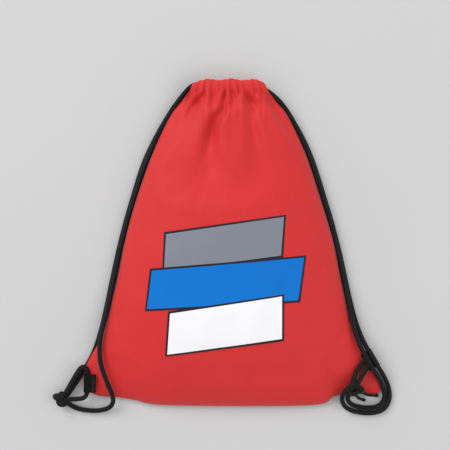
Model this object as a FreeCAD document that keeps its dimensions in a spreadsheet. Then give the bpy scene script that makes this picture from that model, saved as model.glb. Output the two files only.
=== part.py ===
"""Drawstring backpack lying on its back: two cloth panels, gathered casings, cords, knots and tabs.

Millimetres. X across the bag, +Y towards the mouth, +Z up. The origin is under the bag's centre.
"""
import FreeCAD, Part
import Sketcher
import math
import os

DOC = FreeCAD.newDocument("drawstring_backpack")
SHEET = DOC.addObject("Spreadsheet::Sheet", "dims")

# Driving sizes of the bag, its casings, cords, knots, tabs, stitching and print.
DIMENSIONS = {
    "seam_level": 10.0,         # height of the side seams above the floor
    "wall": 2.0,                # cloth panel as a solid
    "rim": 2.4,                 # width of each panel's sewn edge
    "mouth_station": 179.6,     # where the panels end and the casings begin
    "casing_width": 16.0,
    "casing_depth": 9.5,
    "casing_half_length": 31.0,
    "channel_width": 11.8,
    "channel_depth": 6.0,
    "front_casing_level": 21.75,
    "back_casing_level": 5.25,
    "cord_radius": 2.8,
    "track_offset": 2.9,        # each cord's distance from the middle of the channel
    "thread_radius": 0.4,
    "thread_rise": 0.55,        # seam threads lie inside, just above the seam level
    "seam_inset": 5.5,
    "tab_width": 22.0,
    "tab_reach": 10.0,          # from the tab's inboard ends to the middle of its eye
    "tab_eye_radius": 3.5,
    "tab_thickness": 1.3,
    "stitch_length": 2.6,
    "stitch_width": 0.5,
    "stitch_height": 0.4,
    "stitch_pitch": 3.4,
    "stitch_line": 5.35,        # the casing's stitches, above the mouth
    "tab_stitch_line": 3.0,     # the tab's stitches, from its inboard ends
    "tab_stitch_pitch": 1.1,
    "knot_length": 18.0,
    "knot_width": 15.0,
    "tail_radius": 1.7,
    "tip_radius": 2.0,
    "tip_length": 3.0,
    "film": 0.25,               # ink film on the front panel
    "keyline": 2.4,             # dark border round each printed bar
}

# The bag's outline from mouth to bottom: station along Y, half width, crown above the seam,
# and depth of the lying belly below it. The floor cuts the belly flat.
OUTLINE = [
    (179.6, 50.0, 16.5, 9.4),
    (150.0, 71.0, 25.0, 11.0),
    (100.0, 94.5, 36.0, 12.0),
    (40.0, 115.0, 44.0, 12.5),
    (-25.0, 131.0, 46.0, 12.5),
    (-80.0, 142.5, 43.0, 12.5),
    (-115.0, 155.0, 37.0, 12.0),
    (-142.0, 167.0, 30.0, 11.0),
    (-170.0, 160.0, 20.0, 9.0),
    (-187.0, 139.0, 10.0, 6.0),
    (-195.6, 84.0, 3.0, 2.6),
]
INNER_TOP = 186.0               # the hollow runs out through the mouth
INNER_BOTTOM = -188.0
FLAT_DEPTH = 40.0               # how far below the floor the belly is trimmed

# Printed bars: lower left, lower right, upper right and upper left corners on the front.
BARS = {
    "print_grey_bar": [(-76.8, -32.4), (61.2, -14.4), (64.8, 31.2), (-74.4, 10.8)],
    "print_blue_bar": [(-97.2, -78.0), (81.6, -67.2), (88.8, -16.8), (-91.2, -32.4)],
    "print_white_bar": [(-73.2, -132.0), (62.4, -112.8), (62.4, -62.4), (-69.6, -82.8)],
}

# Cord routes, the points of straight runs that arcs join.
LEFT_FRONT_ROUTE = [
    (-31.0, 190.5, 21.75), (-40.0, 190.5, 21.75), (-49.5, 184.0, 17.5), (-58.0, 174.0, 12.8),
    (-69.0, 160.0, 9.4), (-85.1, 131.9, 8.4), (-99.8, 98.2, 8.3), (-111.5, 62.0, 8.3),
    (-121.2, 30.0, 8.3), (-130.0, -3.0, 8.3), (-137.5, -39.0, 8.5), (-144.5, -72.0, 10.0),
    (-151.5, -99.0, 14.6), (-155.0, -121.0, 20.5), (-153.8, -143.0, 24.5), (-146.5, -164.0, 23.5),
    (-140.0, -180.0, 18.5), (-138.3, -190.5, 11.5), (-143.5, -199.0, 5.4), (-157.0, -202.5, 3.1),
    (-172.5, -202.0, 2.9), (-186.0, -199.0, 3.2), (-195.5, -192.5, 4.8),
]
LEFT_BACK_ROUTE = [
    (-31.0, 190.5, 5.25), (-40.0, 190.5, 5.25), (-50.5, 184.5, 4.2), (-60.5, 172.0, 3.1),
    (-71.5, 156.5, 2.9), (-88.0, 128.4, 2.9), (-103.4, 96.2, 2.9), (-114.5, 60.0, 2.9),
    (-124.2, 27.0, 2.9), (-132.6, -6.0, 2.9), (-140.2, -41.0, 2.9), (-147.2, -75.0, 2.9),
    (-154.0, -105.0, 2.9), (-160.5, -126.0, 2.9), (-167.0, -140.5, 2.9), (-174.5, -152.5, 2.9),
    (-182.0, -164.5, 3.0), (-189.5, -176.0, 3.6), (-196.0, -184.8, 5.0),
]
LEFT_ANCHOR_ROUTE = [
    (-197.0, -181.5, 11.6), (-192.0, -172.5, 9.8), (-186.0, -162.0, 9.8), (-180.8, -153.6, 10.0),
    (-177.2, -149.0, 10.0), (-172.6, -149.2, 10.0), (-170.1, -152.9, 10.0), (-169.5, -160.0, 10.0),
    (-169.9, -172.5, 10.0), (-170.6, -181.6, 10.0), (-174.0, -186.2, 10.0), (-182.0, -187.6, 10.4),
    (-190.6, -187.6, 10.8), (-198.5, -188.2, 11.2),
]
RIGHT_FRONT_ROUTE = [
    (31.0, 184.7, 21.75), (40.0, 184.7, 21.75), (50.0, 179.2, 17.5), (59.7, 171.2, 12.8),
    (70.3, 158.6, 9.6), (86.6, 129.4, 8.5), (99.2, 98.2, 8.4), (111.0, 62.2, 8.4),
    (121.8, 27.2, 8.4), (130.5, -8.9, 8.4), (137.8, -44.0, 8.6), (144.0, -74.0, 10.4),
    (149.2, -99.0, 15.0), (154.0, -117.0, 21.0), (160.3, -131.0, 25.1), (167.5, -143.5, 24.8),
    (175.5, -155.5, 18.8), (182.5, -166.5, 11.2), (187.0, -178.0, 4.9), (187.8, -188.0, 2.9),
    (182.5, -196.0, 2.9), (172.5, -199.2, 2.9), (160.5, -198.8, 3.1), (150.0, -196.0, 5.7),
    (143.0, -190.5, 12.8), (141.0, -183.0, 19.6), (146.5, -176.4, 23.4),
]
RIGHT_BACK_ROUTE = [
    (31.0, 184.7, 5.25), (40.0, 184.7, 5.25), (51.5, 179.5, 4.2), (61.5, 169.5, 3.1),
    (72.5, 155.0, 2.9), (88.8, 127.5, 2.9), (101.8, 97.0, 2.9), (113.3, 60.0, 2.9),
    (124.0, 25.0, 2.9), (133.2, -11.0, 2.9), (140.7, -46.0, 3.0), (147.4, -77.0, 4.2),
    (153.8, -100.0, 8.8), (160.0, -116.0, 15.2), (166.8, -129.0, 20.8), (173.6, -140.5, 21.5),
    (181.3, -152.5, 15.6), (188.3, -164.0, 8.2), (193.2, -176.3, 3.7), (193.9, -189.7, 2.9),
    (187.0, -201.3, 2.9), (174.2, -205.3, 2.9), (160.0, -205.1, 2.9), (146.2, -201.8, 4.6),
    (137.6, -195.2, 10.6), (134.6, -186.0, 17.6), (137.0, -178.4, 21.0), (142.6, -172.4, 22.8),
]
RIGHT_ANCHOR_ROUTE = [
    (146.6, -168.5, 23.2), (149.6, -158.5, 20.4), (154.6, -149.8, 18.6), (158.6, -145.0, 18.1),
    (161.3, -140.6, 18.1), (165.6, -141.0, 18.1), (167.0, -145.6, 18.1), (163.8, -150.8, 18.1),
    (159.4, -157.6, 19.0), (153.2, -168.3, 22.4),
]
SHORT_TAIL_ROUTE = [
    (150.0, -178.5, 19.6), (153.0, -184.0, 14.5), (156.8, -187.2, 8.0), (161.5, -189.0, 3.8),
]
LONG_TAIL_ROUTE = [
    (155.0, -175.5, 20.5), (162.0, -180.5, 15.5), (169.0, -183.2, 9.0), (177.0, -184.0, 3.6),
]
# Middles of the knots: each route of its cords ends inside it.
LEFT_KNOT_CENTRE = (-202.0, -187.0, 8.2)
RIGHT_KNOT_CENTRE = (148.6, -171.8, 23.5)
# Tabs: middle of the inboard edge and the turn about Z that points the eye away from the bag.
LEFT_TAB_PLACE = ((-159.7, -168.6), 178.0)
RIGHT_TAB_PLACE = ((163.1, -144.0), 30.0)


def fill_sheet():
    """Put every driving size in the sheet as a plain number with its alias."""
    rows = dict(DIMENSIONS)
    for number, values in enumerate(OUTLINE, 1):
        for name, value in zip(("station", "half_width", "crown", "belly"), values):
            rows[f"{name}_{number}"] = value
    rows["inner_top"] = INNER_TOP
    rows["inner_bottom"] = INNER_BOTTOM
    for row, (alias, value) in enumerate(rows.items(), 1):
        SHEET.set(f"A{row}", alias)
        SHEET.set(f"B{row}", str(value))
        SHEET.setAlias(f"B{row}", alias)
    DOC.recompute()


def size(alias):
    """A driving size as a number, for the shapes that no feature can bind."""
    return float(SHEET.get(alias))


def new_body(name):
    body = DOC.addObject("PartDesign::Body", name)
    body.Label = name
    return body


def origin_plane(body, role):
    return next(f for f in body.Origin.OriginFeatures if f.Role == role)


def attach(sketch, body, role):
    sketch.AttachmentSupport = [(origin_plane(body, role), "")]
    sketch.MapMode = "FlatFace"


def lens_sketch(body, name, station, half_width, rise, upward):
    """Half a lens across the bag: a chord at the seam level under an arc, or over it."""
    sketch = body.newObject("Sketcher::SketchObject", name)
    attach(sketch, body, "XZ_Plane")
    sketch.setExpression(".AttachmentOffset.Base.z", f"-({station})")
    seam = size("seam_level")
    middle = FreeCAD.Vector(0, seam - 400 if upward else seam + 400, 0)
    circle = Part.Circle(middle, FreeCAD.Vector(0, 0, 1), 410)
    half = math.asin(90 / 410)
    towards = math.pi / 2 if upward else -math.pi / 2
    arc = sketch.addGeometry(Part.ArcOfCircle(circle, towards - half, towards + half), False)
    left, right = (2, 1) if upward else (1, 2)
    ends = {
        "left": FreeCAD.Vector(-90, seam, 0),
        "right": FreeCAD.Vector(90, seam, 0),
    }
    chord = sketch.addGeometry(Part.LineSegment(ends["left"], ends["right"]), False)
    rule = Sketcher.Constraint
    sketch.addConstraint(rule("Coincident", arc, left, chord, 1))
    sketch.addConstraint(rule("Coincident", arc, right, chord, 2))
    sketch.addConstraint(rule("PointOnObject", arc, 3, -2))
    sketch.addConstraint(rule("Horizontal", chord))
    level = sketch.addConstraint(rule("DistanceY", -1, 1, chord, 1, seam))
    span = sketch.addConstraint(rule("DistanceX", chord, 1, chord, 2, 180.0))
    radius = sketch.addConstraint(rule("Radius", arc, 410.0))
    sketch.setExpression(f"Constraints[{level}]", "dims.seam_level")
    sketch.setExpression(f"Constraints[{span}]", f"2 * ({half_width})")
    sketch.setExpression(
        f"Constraints[{radius}]",
        f"(({half_width})^2 + ({rise})^2) / (2 * ({rise}))",
    )
    return sketch


def lens_loft(body, name, kind, sections):
    """A smooth loft through lens sketches, added to the body or taken from it."""
    loft = body.newObject(f"PartDesign::{kind}", name)
    loft.Profile = sections[0]
    loft.Sections = sections[1:]
    loft.Ruled = False
    body.Tip = loft
    for sketch in sections:
        sketch.Visibility = False
    DOC.recompute()
    return loft


def outline_sections(body, prefix, rise, upward, grow="0"):
    """The outline's sections, each grown by an amount all round."""
    return [
        lens_sketch(
            body,
            f"{prefix}_{number}",
            f"dims.station_{number}",
            f"dims.half_width_{number} + {grow}",
            f"dims.{rise}_{number} + {grow}",
            upward,
        )
        for number in range(1, len(OUTLINE) + 1)
    ]


def hollow_sections(body, prefix, rise, upward, wall):
    """The hollow inside a panel: the outline less its rim and wall, open at the mouth."""
    last = len(OUTLINE) - 1
    numbers = range(1, last + 1)
    stations = {1: "dims.inner_top", last: "dims.inner_bottom"}
    return [
        lens_sketch(
            body,
            f"{prefix}_{number}",
            stations.get(number, f"dims.station_{number}"),
            f"dims.half_width_{number} - dims.rim",
            f"dims.{rise}_{number} - {wall}",
            upward,
        )
        for number in numbers
    ]


def build_front_panel():
    body = new_body("front_panel")
    lens_loft(body, "front_outside", "AdditiveLoft", outline_sections(body, "fo", "crown", True))
    hollow = hollow_sections(body, "fi", "crown", True, "dims.wall")
    lens_loft(body, "front_inside", "SubtractiveLoft", hollow)
    return body


def build_back_panel():
    """The lying panel. The floor trims its belly, so the inside keeps a wall above the floor."""
    body = new_body("back_panel")
    lens_loft(body, "back_outside", "AdditiveLoft", outline_sections(body, "bo", "belly", False))
    wall = "(dims.wall + dims.belly_3 - dims.seam_level) * dims.belly_{0} / dims.belly_3"
    last = len(OUTLINE) - 1
    stations = {1: "dims.inner_top", last: "dims.inner_bottom"}
    sections = [
        lens_sketch(
            body,
            f"bi_{number}",
            stations.get(number, f"dims.station_{number}"),
            f"dims.half_width_{number} - dims.rim",
            f"dims.belly_{number} - {wall.format(number)}",
            False,
        )
        for number in range(1, last + 1)
    ]
    lens_loft(body, "back_inside", "SubtractiveLoft", sections)
    trim = body.newObject("Sketcher::SketchObject", "floor_trim")
    attach(trim, body, "XY_Plane")
    rectangle(trim, -300, -300, 300, 300)
    flat = body.newObject("PartDesign::Pocket", "flat_belly")
    flat.Profile = trim
    flat.Length = FLAT_DEPTH
    flat.Reversed = False
    body.Tip = flat
    DOC.recompute()
    return body


def rectangle(sketch, x0, y0, x1, y1):
    """A closed rectangle of four lines."""
    corners = [(x0, y0), (x1, y0), (x1, y1), (x0, y1)]
    polygon(sketch, corners)


def polygon(sketch, corners):
    """A closed outline of straight lines through the corners, each corner fixed in place."""
    rule = Sketcher.Constraint
    points = [FreeCAD.Vector(x, y, 0) for x, y in corners]
    count = len(points)
    lines = [
        sketch.addGeometry(Part.LineSegment(points[i], points[(i + 1) % count]), False)
        for i in range(count)
    ]
    for i, line in enumerate(lines):
        sketch.addConstraint(rule("Coincident", line, 2, lines[(i + 1) % count], 1))
        sketch.addConstraint(rule("DistanceX", -1, 1, line, 1, corners[i][0]))
        sketch.addConstraint(rule("DistanceY", -1, 1, line, 1, corners[i][1]))


def slot_outline(sketch, width, depth):
    """A round-ended slot about the sketch's origin, along its first axis."""
    rule = Sketcher.Constraint
    run, end = 2.0, 2.0
    up = FreeCAD.Vector(0, 0, 1)
    right = sketch.addGeometry(
        Part.ArcOfCircle(Part.Circle(FreeCAD.Vector(run, 0, 0), up, end), -math.pi / 2, math.pi / 2)
    )
    left = sketch.addGeometry(
        Part.ArcOfCircle(
            Part.Circle(FreeCAD.Vector(-run, 0, 0), up, end), math.pi / 2, 3 * math.pi / 2
        )
    )
    top = sketch.addGeometry(
        Part.LineSegment(FreeCAD.Vector(run, end, 0), FreeCAD.Vector(-run, end, 0))
    )
    bottom = sketch.addGeometry(
        Part.LineSegment(FreeCAD.Vector(-run, -end, 0), FreeCAD.Vector(run, -end, 0))
    )
    sketch.addConstraint(rule("Tangent", right, 2, top, 1))
    sketch.addConstraint(rule("Tangent", top, 2, left, 1))
    sketch.addConstraint(rule("Tangent", left, 2, bottom, 1))
    sketch.addConstraint(rule("Tangent", bottom, 2, right, 1))
    sketch.addConstraint(rule("Horizontal", top))
    sketch.addConstraint(rule("Horizontal", bottom))
    sketch.addConstraint(rule("Symmetric", left, 3, right, 3, -1, 1))
    radius = sketch.addConstraint(rule("Radius", right, end))
    reach = sketch.addConstraint(rule("DistanceX", left, 3, right, 3, 2 * run))
    sketch.setExpression(f"Constraints[{radius}]", f"({depth}) / 2")
    sketch.setExpression(f"Constraints[{reach}]", f"({width}) - ({depth})")


def build_casing(name, level):
    """A gathered hem sewn as a tube across the mouth, open at both ends for the cords."""
    body = new_body(name)
    sketch = body.newObject("Sketcher::SketchObject", f"{name}_section")
    attach(sketch, body, "YZ_Plane")
    slot_outline(sketch, "dims.casing_width", "dims.casing_depth")
    slot_outline(sketch, "dims.channel_width", "dims.channel_depth")
    pad = body.newObject("PartDesign::Pad", f"{name}_tube")
    pad.Profile = sketch
    pad.SideType = "Symmetric"
    pad.setExpression("Length", "2 * dims.casing_half_length")
    body.Tip = pad
    body.setExpression(".Placement.Base.y", "dims.mouth_station + dims.casing_width / 2")
    body.setExpression(".Placement.Base.z", f"dims.{level}")
    DOC.recompute()
    return body


def stitch_row(start, step, count, low, high):
    """A row of separate stitches: boxes one pitch apart from start, between two heights."""
    stitches = []
    length, width = size("stitch_length"), size("stitch_width")
    along_x = abs(step[0]) >= abs(step[1])
    dx, dy = (length, width) if along_x else (width, length)
    for number in range(count):
        x, y = start[0] + number * step[0], start[1] + number * step[1]
        corner = FreeCAD.Vector(x - dx / 2, y - dy / 2, low)
        stitches.append(Part.makeBox(dx, dy, high - low, corner))
    return stitches


def shape_node(name, shape):
    """A sub-part whose shape is made directly, for groups that no single feature makes."""
    node = DOC.addObject("Part::Feature", name)
    node.Label = name
    node.Shape = shape
    node.Placement = FreeCAD.Placement()
    return node


def build_casing_stitching(name, low):
    """The line of stitches that closes a casing, on its outer face."""
    pitch = size("stitch_pitch")
    count = int(2 * (size("casing_half_length") - 2) / pitch) + 1
    start = -(count - 1) * pitch / 2
    line = size("mouth_station") + size("stitch_line")
    height = size("stitch_height")
    stitches = stitch_row((start, line), (pitch, 0), count, low, low + height)
    return shape_node(name, Part.makeCompound(stitches))


def rounded_wire(points):
    """Straight runs joined by tangent arcs, each as large as 0.45 of its shorter run allows."""
    points = [FreeCAD.Vector(*p) for p in points]
    edges, radii, start = [], [], points[0]
    for before, corner, after in zip(points, points[1:], points[2:]):
        back, ahead = (before - corner), (after - corner)
        reach = 0.45 * min(back.Length, ahead.Length)
        back.normalize()
        ahead.normalize()
        turn = math.pi - back.getAngle(ahead)
        radius = reach / math.tan(turn / 2)
        enter, leave = corner + back * reach, corner + ahead * reach
        middle_way = back + ahead
        middle_way.normalize()
        bulge = corner + middle_way * (radius / math.cos(turn / 2) - radius)
        edges.append(Part.LineSegment(start, enter).toShape())
        edges.append(Part.Arc(enter, bulge, leave).toShape())
        radii.append(radius)
        start = leave
    edges.append(Part.LineSegment(start, points[-1]).toShape())
    return Part.Wire(edges), radii


def swept_tube(name, points, radius_alias):
    """A round tube along a route: a circle swept along straight runs and tangent arcs."""
    wire, radii = rounded_wire(points)
    route = DOC.addObject("Part::Feature", f"{name}_route")
    route.Shape = wire
    section = DOC.addObject("Part::Circle", f"{name}_section")
    section.setExpression("Radius", f"dims.{radius_alias}")
    first = FreeCAD.Vector(*points[1]) - FreeCAD.Vector(*points[0])
    turn = FreeCAD.Rotation(FreeCAD.Vector(0, 0, 1), first)
    section.Placement = FreeCAD.Placement(FreeCAD.Vector(*points[0]), turn)
    tube = DOC.addObject("Part::Sweep", name)
    tube.Label = name
    tube.Sections = [section]
    tube.Spine = (route, [f"Edge{i + 1}" for i in range(len(wire.Edges))])
    tube.Solid = True
    tube.Frenet = True
    DOC.recompute()
    expected = math.pi * size(radius_alias) ** 2 * wire.Length
    print(
        f"{name}: length {wire.Length:.0f}, tightest radius {min(radii):.1f}, "
        f"volume {tube.Shape.Volume / expected:.3f} of section times length"
    )
    return tube


def build_casing_cord(name, side, track):
    """The hidden half of a cord: two straight runs joined by a half turn at the far side."""
    half = size("casing_half_length")
    high, low = size("front_casing_level"), size("back_casing_level")
    line = size("mouth_station") + size("casing_width") / 2 + track
    turn = (high - low) / 2
    near, far = side * half, -side * half
    wire = Part.Wire(
        [
            Part.LineSegment(
                FreeCAD.Vector(near, line, high), FreeCAD.Vector(far, line, high)
            ).toShape(),
            Part.Arc(
                FreeCAD.Vector(far, line, high),
                FreeCAD.Vector(far - side * turn, line, (high + low) / 2),
                FreeCAD.Vector(far, line, low),
            ).toShape(),
            Part.LineSegment(
                FreeCAD.Vector(far, line, low), FreeCAD.Vector(near, line, low)
            ).toShape(),
        ]
    )
    route = DOC.addObject("Part::Feature", f"{name}_route")
    route.Shape = wire
    section = DOC.addObject("Part::Circle", f"{name}_section")
    section.setExpression("Radius", "dims.cord_radius")
    across = FreeCAD.Rotation(FreeCAD.Vector(0, 0, 1), FreeCAD.Vector(-side, 0, 0))
    section.Placement = FreeCAD.Placement(FreeCAD.Vector(near, line, high), across)
    tube = DOC.addObject("Part::Sweep", name)
    tube.Label = name
    tube.Sections = [section]
    tube.Spine = (route, ["Edge1", "Edge2", "Edge3"])
    tube.Solid = True
    tube.Frenet = True
    return tube


def build_knot(name, centre, cords, lean):
    """An overhand knot as one rounded lump, cut where its cords run into it."""
    lump = DOC.addObject("Part::Ellipsoid", f"{name}_lump")
    lump.setExpression("Radius1", "dims.knot_length / 2")
    lump.setExpression("Radius2", "dims.knot_width / 2")
    lump.setExpression("Radius3", "dims.knot_width / 2")
    lump.Placement = FreeCAD.Placement(
        FreeCAD.Vector(*centre), FreeCAD.Rotation(FreeCAD.Vector(0, 0, 1), lean)
    )
    tools = DOC.addObject("Part::MultiFuse", f"{name}_cords")
    tools.Shapes = cords
    knot = DOC.addObject("Part::Cut", name)
    knot.Label = name
    knot.Base = lump
    knot.Tool = tools
    DOC.recompute()
    return knot


def build_tab(name, place):
    """A strip of webbing folded round an eye, its two ends over the corner's edge."""
    (x, y), turn = place
    body = new_body(name)
    sketch = body.newObject("Sketcher::SketchObject", f"{name}_fold")
    attach(sketch, body, "XZ_Plane")
    rule = Sketcher.Constraint
    up = FreeCAD.Vector(0, 0, 1)
    far = size("tab_reach")
    middle = FreeCAD.Vector(far, 0, 0)
    inner = size("tab_eye_radius")
    outer = inner + size("tab_thickness")
    arcs = [
        sketch.addGeometry(Part.ArcOfCircle(Part.Circle(middle, up, r), -math.pi / 2, math.pi / 2))
        for r in (inner, outer)
    ]
    lines = []
    for r_sign in (1, -1):
        for r in (inner, outer):
            lines.append(
                sketch.addGeometry(
                    Part.LineSegment(
                        FreeCAD.Vector(far, r_sign * r, 0), FreeCAD.Vector(0, r_sign * r, 0)
                    )
                )
            )
    ends = [
        sketch.addGeometry(
            Part.LineSegment(FreeCAD.Vector(0, s * inner, 0), FreeCAD.Vector(0, s * outer, 0))
        )
        for s in (1, -1)
    ]
    for arc, top, bottom in ((arcs[0], lines[0], lines[2]), (arcs[1], lines[1], lines[3])):
        sketch.addConstraint(rule("Tangent", arc, 2, top, 1))
        sketch.addConstraint(rule("Tangent", arc, 1, bottom, 1))
        sketch.addConstraint(rule("Horizontal", top))
        sketch.addConstraint(rule("Horizontal", bottom))
    for end, inside, outside in ((ends[0], lines[0], lines[1]), (ends[1], lines[2], lines[3])):
        sketch.addConstraint(rule("Coincident", inside, 2, end, 1))
        sketch.addConstraint(rule("Coincident", outside, 2, end, 2))
        sketch.addConstraint(rule("Vertical", end))
        sketch.addConstraint(rule("PointOnObject", end, 1, -2))
    sketch.addConstraint(rule("Coincident", arcs[0], 3, arcs[1], 3))
    sketch.addConstraint(rule("PointOnObject", arcs[0], 3, -1))
    reach = sketch.addConstraint(rule("DistanceX", -1, 1, arcs[0], 3, far))
    eye = sketch.addConstraint(rule("Radius", arcs[0], inner))
    skin = sketch.addConstraint(rule("Radius", arcs[1], outer))
    sketch.setExpression(f"Constraints[{reach}]", "dims.tab_reach")
    sketch.setExpression(f"Constraints[{eye}]", "dims.tab_eye_radius")
    sketch.setExpression(f"Constraints[{skin}]", "dims.tab_eye_radius + dims.tab_thickness")
    pad = body.newObject("PartDesign::Pad", f"{name}_strip")
    pad.Profile = sketch
    pad.SideType = "Symmetric"
    pad.setExpression("Length", "dims.tab_width")
    body.Tip = pad
    body.Placement = FreeCAD.Placement(
        FreeCAD.Vector(x, y, 0), FreeCAD.Rotation(FreeCAD.Vector(0, 0, 1), turn)
    )
    body.setExpression(".Placement.Base.z", "dims.seam_level")
    DOC.recompute()
    return body


def build_tab_stitching(name, place):
    """The dense row of stitches that sews a tab's upper end to the corner."""
    (x, y), turn = place
    pitch = size("tab_stitch_pitch")
    rows = int(size("tab_width") / pitch) - 2
    top = size("seam_level") + size("tab_eye_radius") + size("tab_thickness")
    first = -(rows - 1) * pitch / 2
    length, width, line = size("stitch_length"), size("stitch_width"), size("tab_stitch_line")
    stitches = []
    for number in range(rows):
        corner = FreeCAD.Vector(line - length / 2, first + number * pitch - width / 2, top)
        stitches.append(Part.makeBox(length, width, size("stitch_height"), corner))
    group = Part.makeCompound(stitches)
    node = shape_node(name, group)
    node.Placement = FreeCAD.Placement(
        FreeCAD.Vector(x, y, 0), FreeCAD.Rotation(FreeCAD.Vector(0, 0, 1), turn)
    )
    return node


def grown(corners, margin):
    """The same outline with each corner moved outwards along X and Y."""
    cx = sum(x for x, _ in corners) / len(corners)
    cy = sum(y for _, y in corners) / len(corners)
    return [
        (x + math.copysign(margin, x - cx), y + math.copysign(margin, y - cy))
        for x, y in corners
    ]


def build_print(name, corners, under, over):
    """An ink film on the front panel: the skin between two growths, trimmed to an outline."""
    body = new_body(name)
    outside = outline_sections(body, f"{name}_o", "crown", True, over)
    lens_loft(body, f"{name}_skin", "AdditiveLoft", outside)
    inside = outline_sections(body, f"{name}_i", "crown", True, under)
    lens_loft(body, f"{name}_core", "SubtractiveLoft", inside)
    trim = body.newObject("Sketcher::SketchObject", f"{name}_trim")
    attach(trim, body, "XY_Plane")
    rectangle(trim, -300, -300, 300, 300)
    polygon(trim, corners)
    cut = body.newObject("PartDesign::Pocket", f"{name}_outline")
    cut.Profile = trim
    cut.SideType = "Symmetric"
    cut.Length = 400
    body.Tip = cut
    DOC.recompute()
    return body


def seam_route(side):
    """The inside of a side seam, from below the casing to the bottom corner."""
    inset = size("rim") + size("seam_inset")
    level = size("seam_level") + size("thread_rise")
    return [
        (side * (half_width - inset), station, level)
        for station, half_width, _, _ in OUTLINE[1:9]
    ]


def bottom_seam_route():
    """The inside of the bottom seam between the rounded corners."""
    level = size("seam_level") + size("thread_rise")
    return [
        (-112.0, -184.4, level), (-40.0, -185.6, level), (40.0, -185.6, level),
        (112.0, -184.4, level),
    ]


def build_all():
    fill_sheet()
    nodes = [build_front_panel(), build_back_panel()]
    nodes.append(build_casing("front_casing", "front_casing_level"))
    nodes.append(build_casing("back_casing", "back_casing_level"))
    front_face = size("front_casing_level") + size("casing_depth") / 2
    back_face = size("back_casing_level") - size("casing_depth") / 2 - size("stitch_height")
    nodes.append(build_casing_stitching("front_casing_stitching", front_face))
    nodes.append(build_casing_stitching("back_casing_stitching", back_face))
    nodes.append(swept_tube("left_side_seam_thread", seam_route(-1), "thread_radius"))
    nodes.append(swept_tube("right_side_seam_thread", seam_route(1), "thread_radius"))
    nodes.append(swept_tube("bottom_seam_thread", bottom_seam_route(), "thread_radius"))

    nodes.append(build_casing_cord("left_cord_in_casings", -1, size("track_offset")))
    nodes.append(build_casing_cord("right_cord_in_casings", 1, -size("track_offset")))
    left = [
        swept_tube("left_cord_front_strand", LEFT_FRONT_ROUTE, "cord_radius"),
        swept_tube("left_cord_back_strand", LEFT_BACK_ROUTE, "cord_radius"),
        swept_tube("left_anchor_loop", LEFT_ANCHOR_ROUTE, "cord_radius"),
    ]
    right = [
        swept_tube("right_cord_front_strand", RIGHT_FRONT_ROUTE, "cord_radius"),
        swept_tube("right_cord_back_strand", RIGHT_BACK_ROUTE, "cord_radius"),
        swept_tube("right_anchor_loop", RIGHT_ANCHOR_ROUTE, "cord_radius"),
    ]
    tails = [
        swept_tube("right_short_tail", SHORT_TAIL_ROUTE, "tail_radius"),
        swept_tube("right_long_tail", LONG_TAIL_ROUTE, "tail_radius"),
    ]
    nodes += left + right + tails
    lean_left, lean_right = FreeCAD.Vector(1, 0.35, 0.1), FreeCAD.Vector(0.5, 1, -0.1)
    nodes.append(build_knot("left_knot", LEFT_KNOT_CENTRE, left, lean_left))
    nodes.append(build_knot("right_knot", RIGHT_KNOT_CENTRE, right + tails, lean_right))
    nodes.append(build_tip("right_short_tail_tip", SHORT_TAIL_ROUTE))
    nodes.append(build_tip("right_long_tail_tip", LONG_TAIL_ROUTE))

    nodes.append(build_tab("left_corner_tab", LEFT_TAB_PLACE))
    nodes.append(build_tab("right_corner_tab", RIGHT_TAB_PLACE))
    nodes.append(build_tab_stitching("left_tab_stitching", LEFT_TAB_PLACE))
    nodes.append(build_tab_stitching("right_tab_stitching", RIGHT_TAB_PLACE))

    margin = size("keyline")
    borders = [grown(corners, margin) for corners in BARS.values()]
    nodes.append(build_print("print_keyline", joined_border(borders), "0", "dims.film"))
    middle, bottom = borders[1:]
    shown = {
        "print_grey_bar": cut_by_line(BARS["print_grey_bar"], middle[3], middle[2]),
        "print_blue_bar": notched(BARS["print_blue_bar"], bottom),
        "print_white_bar": BARS["print_white_bar"],
    }
    for name, corners in shown.items():
        nodes.append(build_print(name, corners, "dims.film", "2 * dims.film"))
    return nodes


def joined_border(borders):
    """One outline round all the borders, which overlap each other from top to bottom."""
    top, middle, bottom = borders
    return [
        bottom[0], bottom[1], meeting(bottom[1], bottom[2], middle[0], middle[1]), middle[1],
        middle[2], meeting(top[1], top[2], middle[3], middle[2]), top[2], top[3],
        meeting(top[3], top[0], middle[3], middle[2]), middle[3], middle[0],
        meeting(bottom[3], bottom[2], middle[0], middle[1]), bottom[3],
    ]


def notched(corners, over):
    """A bar's outline less the bar that overlaps its lower side, up to that one's right end."""
    return [
        corners[0], meeting(corners[0], corners[1], over[3], over[2]), over[2],
        meeting(over[1], over[2], corners[0], corners[1]), *corners[1:],
    ]


def cut_by_line(corners, a, b):
    """The part of a convex outline to the left of the line from a to b."""
    def side(p):
        return (b[0] - a[0]) * (p[1] - a[1]) - (b[1] - a[1]) * (p[0] - a[0])

    kept = []
    for here, after in zip(corners, corners[1:] + corners[:1]):
        if side(here) > 0:
            kept.append(here)
        if side(here) * side(after) < 0:
            kept.append(meeting(here, after, a, b))
    return kept


def meeting(a, b, c, d):
    """Where the line through a and b crosses the line through c and d."""
    ux, uy = b[0] - a[0], b[1] - a[1]
    vx, vy = d[0] - c[0], d[1] - c[1]
    share = ((c[0] - a[0]) * vy - (c[1] - a[1]) * vx) / (ux * vy - uy * vx)
    return (a[0] + share * ux, a[1] + share * uy)


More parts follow.
